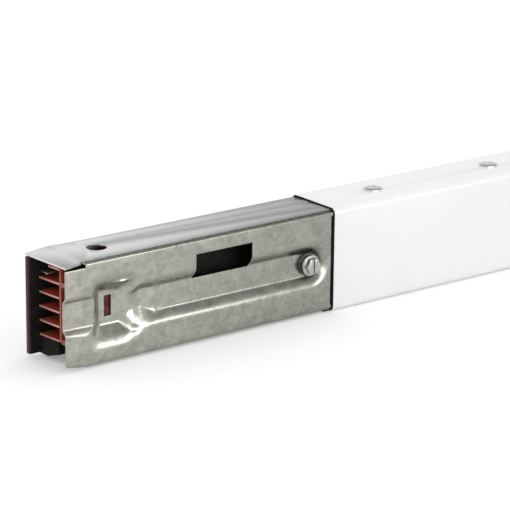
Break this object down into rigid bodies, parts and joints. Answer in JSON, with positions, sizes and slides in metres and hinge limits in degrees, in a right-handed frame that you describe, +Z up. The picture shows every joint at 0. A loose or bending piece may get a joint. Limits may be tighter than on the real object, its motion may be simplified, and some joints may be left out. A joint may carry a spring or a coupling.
{
  "type": "busway section",
  "caption": "Straight low-power busway section: painted steel casing with bars inside, riveted top, and a galvanised joint end with pressed side, window, slot and clamping screw.",
  "frame": {"origin": "on the floor under the middle of the section", "axes": "+X along the section from the joint end to the open end, -Y out of the pressed front side, +Z up"},
  "size_m": [1.2158, 0.0479, 0.0737],
  "materials": {
    "black_insulator": "moulded, satin",
    "black_rubber": "matt rubber",
    "copper": "drawn copper, slightly dulled",
    "dark_zinc": "dark zinc plate",
    "galvanised_cover": "mottled satin zinc",
    "galvanised_sheet": "mottled satin zinc",
    "maroon_trim": "moulded, satin",
    "red_flag": "moulded, satin",
    "red_insulator": "moulded, satin",
    "rivet_steel": "bright zinc plate",
    "tinned_copper": "dull tin plate on copper",
    "white_paint": "white powder coat, soft satin",
    "zinc_plated": "bright zinc plate"
  },
  "bodies": {
    "root": {"bar_support_1": "black_insulator", "bar_support_2": "black_insulator", "bar_support_3": "black_insulator", "bar_support_4": "black_insulator", "bar_support_5": "black_insulator", "bar_support_6": "black_insulator", "bottom_cover": "galvanised_cover", "busbar_1": "copper", "busbar_2": "copper", "busbar_3": "copper", "busbar_4": "copper", "casing": "white_paint", "contact_comb": "red_insulator", "contact_jaw_1": "tinned_copper", "contact_jaw_2": "tinned_copper", "contact_jaw_3": "tinned_copper", "contact_jaw_4": "tinned_copper", "earth_contact": "tinned_copper", "end_gasket": "black_rubber", "flat_washer": "dark_zinc", "front_side_plate": "galvanised_sheet", "indicator": "red_flag", "insulator_tray": "black_insulator", "lock_nut": "zinc_plated", "lock_screw": "zinc_plated", "rear_side_plate": "galvanised_sheet", "rivet_1": "rivet_steel", "rivet_2": "rivet_steel", "rivet_3": "rivet_steel", "rivet_4": "rivet_steel", "rivet_5": "rivet_steel", "rivet_6": "rivet_steel", "rivet_7": "rivet_steel", "spring_washer": "zinc_plated", "top_cover": "galvanised_cover", "tray_edge": "maroon_trim"}
  },
  "joints": []
}
